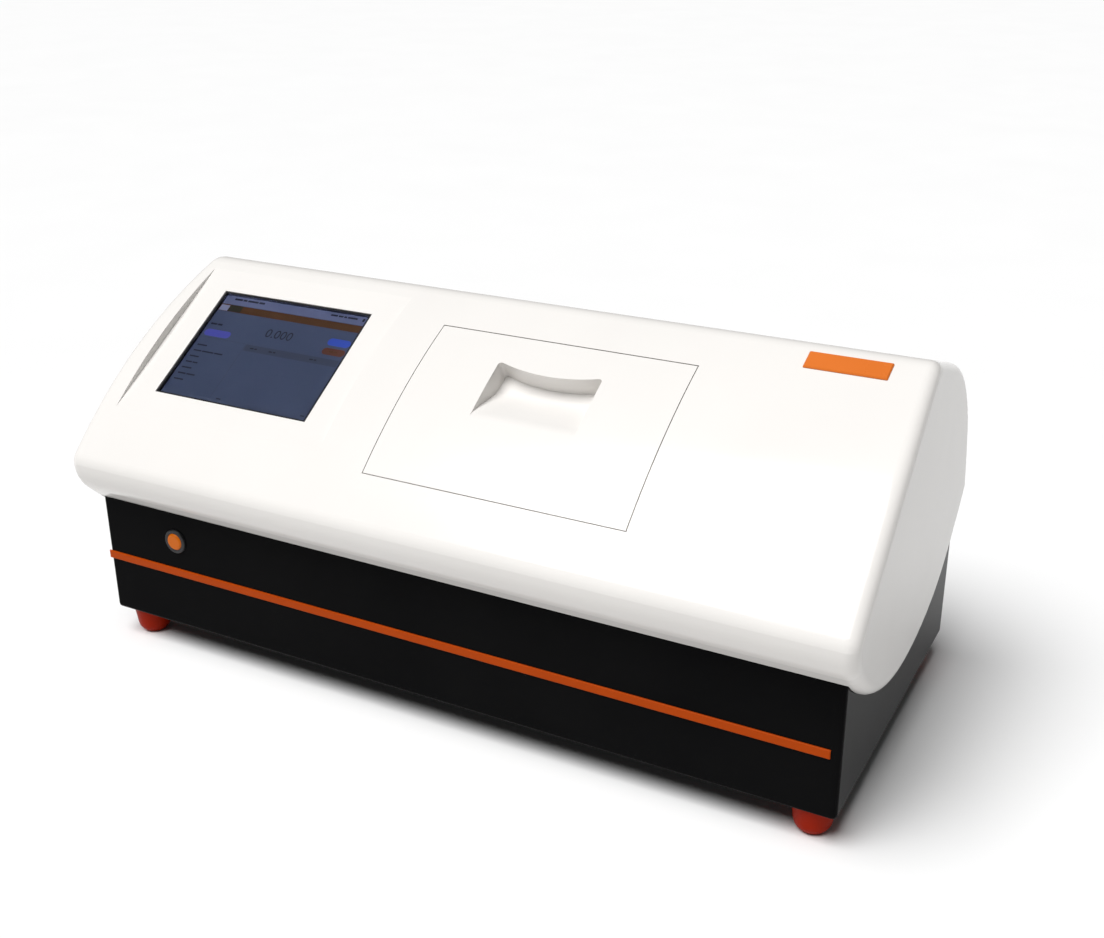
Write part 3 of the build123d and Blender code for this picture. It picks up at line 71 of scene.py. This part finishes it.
# One finish for each of the record's slots. Names with capitals are sockets of the shader.
FINISHES = {
    "casing_black": dict(light=(0.0035, 0.0035, 0.0038), dark=(0.005, 0.005, 0.0052), rough=(0.07, 0.11),
                         patch=9, grain=420, IOR=1.07),
    "hood_white": dict(light=(0.78, 0.76, 0.735), dark=(0.755, 0.735, 0.71), rough=(0.12, 0.17),
                       patch=7, grain=360, bump=0.015, IOR=1.32),
    "trim_orange": dict(light=(0.43, 0.056, 0.001), dark=(0.39, 0.048, 0.001), rough=(0.28, 0.36),
                        IOR=1.15),
    "plate_orange": dict(light=(0.66, 0.165, 0.026), dark=(0.60, 0.148, 0.023), rough=(0.24, 0.34),
                         IOR=1.25),
    "feet_orange": dict(light=(0.31, 0.013, 0.0005), dark=(0.27, 0.011, 0.0005), rough=(0.36, 0.46),
                        bump=0.08, IOR=1.15),
    "button_orange": dict(light=(0.56, 0.125, 0.002), dark=(0.50, 0.105, 0.002), rough=(0.16, 0.24),
                          IOR=1.25, Emission_Color=(1.0, 0.2, 0.01, 1), Emission_Strength=0.03),
    "bezel_white": dict(light=(0.012, 0.012, 0.014), dark=(0.018, 0.018, 0.020), rough=(0.25, 0.32),
                        Specular_IOR_Level=0.2),
    "display_glass": dict(light=(0.96, 0.97, 0.98), dark=(0.94, 0.95, 0.97), rough=(0.0, 0.004),
                          bump=0.0, Transmission_Weight=1.0, IOR=1.1),
    "lcd": dict(light=(0.008, 0.009, 0.012), dark=(0.011, 0.012, 0.016), rough=(0.4, 0.5),
                Specular_IOR_Level=0.1),
    "black_plastic": dict(light=(0.010, 0.010, 0.011), dark=(0.016, 0.016, 0.017), rough=(0.32, 0.44),
                          grain=1400, bump=0.12, Specular_IOR_Level=0.35),
    "steel": dict(light=(0.58, 0.58, 0.59), dark=(0.5, 0.5, 0.51), rough=(0.22, 0.34),
                  metallic=1.0, stretch=BRUSHED),
    "zinc_sheet": dict(light=(0.56, 0.57, 0.58), dark=(0.47, 0.48, 0.5), rough=(0.3, 0.45),
                       metallic=1.0, patch=30),
    "bench_aluminium": dict(light=(0.66, 0.67, 0.68), dark=(0.6, 0.61, 0.62), rough=(0.28, 0.4),
                            metallic=1.0, stretch=BRUSHED),
    "black_anodised": dict(light=(0.014, 0.014, 0.016), dark=(0.022, 0.022, 0.024), rough=(0.4, 0.52),
                           metallic=0.4, grain=1600, bump=0.1),
    "brass": dict(light=(0.62, 0.43, 0.16), dark=(0.52, 0.34, 0.12), rough=(0.22, 0.34),
                  metallic=1.0),
    "copper_wire": dict(light=(0.45, 0.16, 0.05), dark=(0.36, 0.11, 0.035), rough=(0.28, 0.4),
                        metallic=0.9, grain=300, stretch=WOUND, bump=0.5),
    "optical_glass": dict(light=(0.9, 0.96, 0.94), dark=(0.88, 0.94, 0.92), rough=(0.02, 0.05),
                          bump=0.0, Transmission_Weight=1.0, IOR=1.5),
    "seal_rubber": dict(light=(0.016, 0.016, 0.016), dark=(0.024, 0.024, 0.024), rough=(0.7, 0.85),
                        grain=700, bump=0.4),
    "motor_black": dict(light=(0.02, 0.02, 0.022), dark=(0.028, 0.028, 0.03), rough=(0.3, 0.4)),
    "circuit_board": dict(light=(0.012, 0.12, 0.045), dark=(0.01, 0.1, 0.038), rough=(0.3, 0.42)),
    "board_components": dict(light=(0.02, 0.02, 0.022), dark=(0.03, 0.03, 0.032), rough=(0.4, 0.5)),
    "post_nylon": dict(light=(0.7, 0.69, 0.63), dark=(0.64, 0.63, 0.57), rough=(0.45, 0.55)),
}

# The display's facet on the hood: the way it faces, the way up its slope, and a point of its lower edge
FACET_NORMAL = Vector((0.0, -0.53290, 0.84618))
FACET_UP = Vector((0.0, 0.84618, 0.53290))
FACET_ORIGIN = Vector((-0.2223, -0.13109, 0.224462))
# From there up the slope to the screen's middle, and down to the panel's face
SCREEN_UP = 0.0863
PANEL_DEPTH = 0.0033
# Thickness of one layer of the picture, and how far each layer's underside clears the one below
LAYER = 0.00006
LAYER_CLEARANCE = LAYER / 3

# The picture's own sizes and places are in millimetres from the screen's middle, to the right and up
MM_PER_METRE = 1000
SCREEN_WIDTH = 161.0
SCREEN_HEIGHT = 119.4
HALF_WIDTH = SCREEN_WIDTH / 2
HALF_HEIGHT = SCREEN_HEIGHT / 2
# The panel lies deeper than the window, so its picture is set back by this much along and up
SIGHT_U = -1.9
SIGHT_V = 2.1

# How a lit colour is made: its drift, the panel's fine rows, and a dull surface
DRIFT_SCALE = 18.0
ROW_SCALE = 900.0
DULL_SCALE = 60.0
DULL_ROUGH = (0.5, 0.6)
DULL_SPECULAR = 0.1
SCREEN_STRENGTH = 1.0

# Lit colours of the picture, as two near tones
SCREEN_TONES = {
    "ground": ((0.019, 0.025, 0.048), (0.016, 0.022, 0.042)),
    "bar": ((0.040, 0.047, 0.090), (0.034, 0.040, 0.080)),
    "band": ((0.026, 0.010, 0.003), (0.022, 0.008, 0.002)),
    "ink": ((0.004, 0.005, 0.010), (0.003, 0.004, 0.008)),
    "grey": ((0.015, 0.019, 0.034), (0.013, 0.017, 0.030)),
    "blue": ((0.012, 0.028, 0.17), (0.010, 0.024, 0.15)),
    "violet": ((0.024, 0.026, 0.14), (0.020, 0.022, 0.12)),
    "brown": ((0.036, 0.011, 0.006), (0.030, 0.009, 0.005)),
    "olive": ((0.009, 0.008, 0.005), (0.007, 0.006, 0.004)),
    "pale": ((0.075, 0.082, 0.13), (0.065, 0.072, 0.115)),
}

# Flat forms of the picture: tone, level, and each form's left, right, low, high and corner radius
SCREEN_FORMS = (
    ("ground", 1, [(-HALF_WIDTH, HALF_WIDTH, -61.2, HALF_HEIGHT, 0)]),
    ("bar", 2, [(-HALF_WIDTH, HALF_WIDTH, 47.5, HALF_HEIGHT, 0)]),
    ("band", 2, [(-78.5, HALF_WIDTH, 38.8, 47.0, 0)]),
    ("olive", 3, [(-67.6, -53.0, 39.2, 46.6, 0)]),
    ("pale", 3, [(-77.8, -68.0, 39.2, 45.8, 0)]),
    ("grey", 2, [(-23.2, 79.0, -1.5, 5.8, 0), (-24.2, -23.8, -58.0, 5.8, 0), (-79.6, -24.6, 5.9, 6.2, 0)]),
    ("blue", 2, [(56.2, 80.2, 20.6, 28.6, 3.9)]),
    ("violet", 2, [(-76.2, -46.4, 7.9, 15.8, 3.9)]),
    ("brown", 2, [(56.2, 80.2, 10.0, 17.6, 3.7)]),
)

# Small print: each line's left end, lower edge, lengths of its bars and their height
HEADER_LINES = ((-67.6, 53.0, (9.0, 4.4, 12.0, 6.5), 2.2), (42.5, 53.0, (7.5, 5.0, 3.0, 10.5), 1.8))
HEADER_MARK = (77.0, 79.6, 51.8, 55.6, 1.2)
LABEL_LINE = (-75.4, 21.2, (7.0, 5.2), 2.0)
FOOTER_LINES = ((-17.2, -57.6, (5.0,), 1.1), (74.8, -57.6, (4.0,), 1.1))
# The list at the left, one row of bars under the other
ENTRY_LEFT = -74.4
ENTRY_LOW = -4.4
ENTRY_STEP = 6.8
ENTRIES = ((11.0,), (9.0, 13.0, 9.5), (10.5,), (7.0, 5.6), (11.0,), (9.0, 9.5), (10.6,))
# Heads of the table's columns
COLUMN_LEFTS = (-17.0, 4.0, 49.0)
COLUMN_LOW = 1.3
COLUMN_BARS = (4.0, 2.6)
# The mark on the brown button also gives the gap between its bars
BUTTON_LINE = (63.6, 13.2, (4.2, 3.4), 1.4, 0.8)
PRINT_LEVEL = 3

READING = "0.000"
READING_U = 3.5
READING_V = 21.6
READING_SIZE = 13.5
READING_LEVEL = 2

# Studio
FLOOR_SIZE = 80
SKY_COLOUR = (0.95, 0.95, 0.95, 1)
SKY_STRENGTH = 0.08
LIGHT_TOWARDS = (0.16, 0.42, -1.0)
LIGHT_STRENGTH = 3.85
LIGHT_SPREAD = 42


def link(obj):
    scene.collection.objects.link(obj)
    return obj


# Camera

def from_corner(point):
    """Frame position of a point given in casing widths from the front left lower corner."""
    return Vector((CASING_WIDTH * (point.x - 0.5), FRONT_Y + CASING_WIDTH * point.y,
                   FOOT_HEIGHT + CASING_WIDTH * point.z))


def make_camera():
    """The photograph's camera."""
    back = Vector((math.sin(AZIMUTH) * math.cos(ELEVATION), -math.cos(AZIMUTH) * math.cos(ELEVATION),
                   math.sin(ELEVATION)))
    level = Vector((math.cos(AZIMUTH), math.sin(AZIMUTH), 0))
    upright = back.cross(level)
    right = level * math.cos(ROLL) + upright * math.sin(ROLL)
    up = upright * math.cos(ROLL) - level * math.sin(ROLL)
    data = bpy.data.cameras.new("camera")
    data.sensor_width = SENSOR
    data.lens = SENSOR * FOCAL_PIXELS / IMAGE_WIDTH
    data.shift_x = (IMAGE_WIDTH / 2 - CENTRE_U) / IMAGE_WIDTH
    data.shift_y = (CENTRE_V - IMAGE_HEIGHT / 2) / IMAGE_WIDTH
    data.clip_start = CLIP_NEAR
    data.clip_end = CLIP_FAR
    camera = link(bpy.data.objects.new("camera", data))
    place = Matrix((right, up, back)).transposed().to_4x4()
    place.translation = from_corner(TARGET + back * DISTANCE)
    camera.matrix_world = place
    scene.camera = camera


# Materials

class Nodes:
    """A short way to write a node tree."""

    def __init__(self, material):
        material.use_nodes = True
        self.tree = material.node_tree
        self.shader = self.tree.nodes["Principled BSDF"]

    def write(self, socket, value):
        """Link the socket where the value is another socket, and set it where it isn't."""
        if isinstance(value, bpy.types.NodeSocket):
            self.tree.links.new(value, socket)
        else:
            socket.default_value = value

    def add(self, kind, inputs, **settings):
        node = self.tree.nodes.new(kind)
        for key, value in settings.items():
            setattr(node, key, value)
        for key, value in inputs.items():
            self.write(node.inputs[key], value)
        return node

    def feed(self, socket_name, value):
        self.write(self.shader.inputs[socket_name], value)

    def blend(self, factor, light, dark):
        """Two colours mixed by a factor."""
        mix = self.add("ShaderNodeMix", {"Factor": factor}, data_type="RGBA")
        mix.inputs["A"].default_value = (*light, 1)
        mix.inputs["B"].default_value = (*dark, 1)
        return mix.outputs["Result"]


def noise_range(nodes, scale, low, high, detail=3.0, stretch=(1, 1, 1)):
    """A noise that runs from low to high, in object coordinates."""
    place = nodes.add("ShaderNodeTexCoord", {})
    spread = nodes.add("ShaderNodeMapping", {"Vector": place.outputs["Object"], "Scale": stretch})
    noise = nodes.add("ShaderNodeTexNoise", {"Vector": spread.outputs["Vector"], "Scale": scale,
                                             "Detail": detail})
    ramp = nodes.add("ShaderNodeMapRange", {"Value": noise.outputs["Fac"], "From Min": NOISE_LOW,
                                            "From Max": NOISE_HIGH, "To Min": low, "To Max": high})
    return ramp.outputs["Result"]


def finish_material(name, light, dark, rough, metallic=0.0, patch=14.0, grain=900.0, bump=0.02, depth=0.0004,
                    stretch=(1, 1, 1), **sockets):
    """A procedural finish: two near colours in soft patches, uneven gloss and a fine surface grain."""
    material = bpy.data.materials.new(name)
    nodes = Nodes(material)
    mottle = noise_range(nodes, patch, 0.0, 1.0, MOTTLE_DETAIL)
    nodes.feed("Base Color", nodes.blend(mottle, light, dark))
    nodes.feed("Roughness", noise_range(nodes, patch * GLOSS_FINER, *rough, MOTTLE_DETAIL, stretch))
    nodes.feed("Metallic", metallic)
    height = noise_range(nodes, grain, 0.0, 1.0, GRAIN_DETAIL, stretch)
    relief = nodes.add("ShaderNodeBump", {"Height": height, "Strength": bump, "Distance": depth})
    nodes.feed("Normal", relief.outputs["Normal"])
    for socket, value in sockets.items():
        nodes.feed(socket.replace("_", " "), value)
    return material


def screen_material(name, light, dark):
    """A lit colour of the display: two near tones over the panel's fine rows, behind a dull surface."""
    material = bpy.data.materials.new(name)
    nodes = Nodes(material)
    place = nodes.add("ShaderNodeTexCoord", {})
    drift = noise_range(nodes, DRIFT_SCALE, 0.0, 1.0, GRAIN_DETAIL)
    rows = nodes.add("ShaderNodeTexWave", {"Vector": place.outputs["Object"], "Scale": ROW_SCALE})
    share = nodes.add("ShaderNodeMath", {0: drift, 1: rows.outputs["Fac"]}, operation="MULTIPLY")
    tone = nodes.blend(share.outputs["Value"], light, dark)
    nodes.feed("Base Color", tone)
    nodes.feed("Roughness", noise_range(nodes, DULL_SCALE, *DULL_ROUGH))
    nodes.feed("Specular IOR Level", DULL_SPECULAR)
    nodes.feed("Emission Color", tone)
    nodes.feed("Emission Strength", SCREEN_STRENGTH)
    return material


def dress_parts():
    """Give every CAD node the finish of its slot in the record."""
    finishes = {name: finish_material(name, **look) for name, look in FINISHES.items()}
    for part in frame["record"]["subparts"]:
        for material_slot in frame["nodes"][part["node"]].material_slots:
            material_slot.material = finishes[part["material_slot"]]


# Picture on the display: thin raised layers on the panel, under the glass

def on_screen(u, v, height):
    """Frame position of a point of the screen, at a height over the panel."""
    middle = FACET_ORIGIN + FACET_UP * SCREEN_UP - FACET_NORMAL * PANEL_DEPTH
    return middle + Vector((u / MM_PER_METRE, 0, 0)) + FACET_UP * (v / MM_PER_METRE) + FACET_NORMAL * height


def rounded_outline(left, right, low, high, radius, steps=6):
    """Corner points of a rectangle, with round corners where the radius isn't zero."""
    if not radius:
        return [(left, low), (right, low), (right, high), (left, high)]
    points = []
    corners = ((right - radius, low + radius, -90), (right - radius, high - radius, 0),
               (left + radius, high - radius, 90), (left + radius, low + radius, 180))
    for u, v, start in corners:
        for step in range(steps + 1):
            angle = math.radians(start + 90 * step / steps)
            points.append((u + radius * math.cos(angle), v + radius * math.sin(angle)))
    return points


def screen_layer(name, level, shapes, material):
    """One piece of flat raised shapes, each given as left, right, low, high and a corner radius."""
    mesh = bpy.data.meshes.new(name)
    shape = bmesh.new()
    for left, right, low, high, radius in shapes:
        outline = rounded_outline(max(left + SIGHT_U, -HALF_WIDTH), right + SIGHT_U, low + SIGHT_V,
                                  min(high + SIGHT_V, HALF_HEIGHT), radius)
        base = [shape.verts.new(on_screen(u, v, LAYER * (level - 1) + LAYER_CLEARANCE)) for u, v in outline]
        top = [shape.verts.new(on_screen(u, v, LAYER * level)) for u, v in outline]
        shape.faces.new(top)
        shape.faces.new(base[::-1])
        for i in range(len(base)):
            j = (i + 1) % len(base)
            shape.faces.new((base[i], base[j], top[j], top[i]))
    shape.to_mesh(mesh)
    shape.free()
    mesh.materials.append(material)
    piece = link(bpy.data.objects.new(name, mesh))
    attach(piece, "instrument")


def text_bars(u, v, lengths, height=1.5, gap=1.0):
    """A line of small print, shown as bars of these lengths from its left end."""
    bars = []
    for length in lengths:
        bars.append((u, u + length, v, v + height, 0))
        u += length + gap
    return bars


def small_print():
    """Every line of small print on the screen."""
    bars = []
    for line in HEADER_LINES:
        bars += text_bars(*line)
    bars.append(HEADER_MARK)
    bars += text_bars(*LABEL_LINE)
    for row, lengths in enumerate(ENTRIES):
        bars += text_bars(ENTRY_LEFT, ENTRY_LOW - row * ENTRY_STEP, lengths)
    for left in COLUMN_LEFTS:
        bars += text_bars(left, COLUMN_LOW, COLUMN_BARS)
    for line in FOOTER_LINES:
        bars += text_bars(*line)
    return bars


def make_reading(material):
    """The measured value, as raised digits centred on their place."""
    curve = bpy.data.curves.new("reading", "FONT")
    curve.body = READING
    curve.size = READING_SIZE / MM_PER_METRE
    curve.align_x = "CENTER"
    curve.align_y = "CENTER"
    curve.extrude = LAYER / 2
    flat = link(bpy.data.objects.new("reading_outline", curve))
    mesh = bpy.data.meshes.new_from_object(flat.evaluated_get(bpy.context.evaluated_depsgraph_get()))
    bpy.data.objects.remove(flat)
    place = Matrix((Vector((1, 0, 0)), FACET_UP, FACET_NORMAL)).transposed().to_4x4()
    place.translation = on_screen(READING_U + SIGHT_U, READING_V + SIGHT_V, LAYER * READING_LEVEL)
    mesh.transform(place)
    mesh.materials.clear()
    mesh.materials.append(material)
    piece = link(bpy.data.objects.new("reading", mesh))
    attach(piece, "instrument")


def make_picture():
    """The display's picture, with no wording but the reading."""
    tones = {tone: screen_material("screen_" + tone, *pair) for tone, pair in SCREEN_TONES.items()}
    for tone, level, shapes in SCREEN_FORMS:
        screen_layer("screen_" + tone, level, shapes, tones[tone])
    screen_layer("screen_ink", PRINT_LEVEL, small_print(), tones["ink"])
    screen_layer("screen_button_marks", PRINT_LEVEL, text_bars(*BUTTON_LINE), tones["band"])
    make_reading(tones["ink"])


# Floor and light

def make_floor():
    bpy.ops.mesh.primitive_plane_add(size=FLOOR_SIZE)
    floor = bpy.context.object
    floor.name = "floor"
    material = finish_material("floor_pale", (0.86, 0.86, 0.86), (0.85, 0.85, 0.85), (0.7, 0.8), patch=3,
                               Specular_IOR_Level=0.1)
    floor.data.materials.append(material)


def make_sky():
    world = bpy.data.worlds.new("studio")
    world.use_nodes = True
    background = world.node_tree.nodes["Background"]
    background.inputs["Color"].default_value = SKY_COLOUR
    background.inputs["Strength"].default_value = SKY_STRENGTH
    scene.world = world


def make_light():
    """One wide soft light from far above."""
    data = bpy.data.lights.new("overhead", "SUN")
    data.energy = LIGHT_STRENGTH
    data.angle = math.radians(LIGHT_SPREAD)
    light = link(bpy.data.objects.new("overhead", data))
    light.rotation_euler = Vector(LIGHT_TOWARDS).to_track_quat("-Z", "Y").to_euler()


make_camera()
dress_parts()
make_picture()
make_floor()
make_sky()
make_light()
scene.view_settings.view_transform = "Standard"
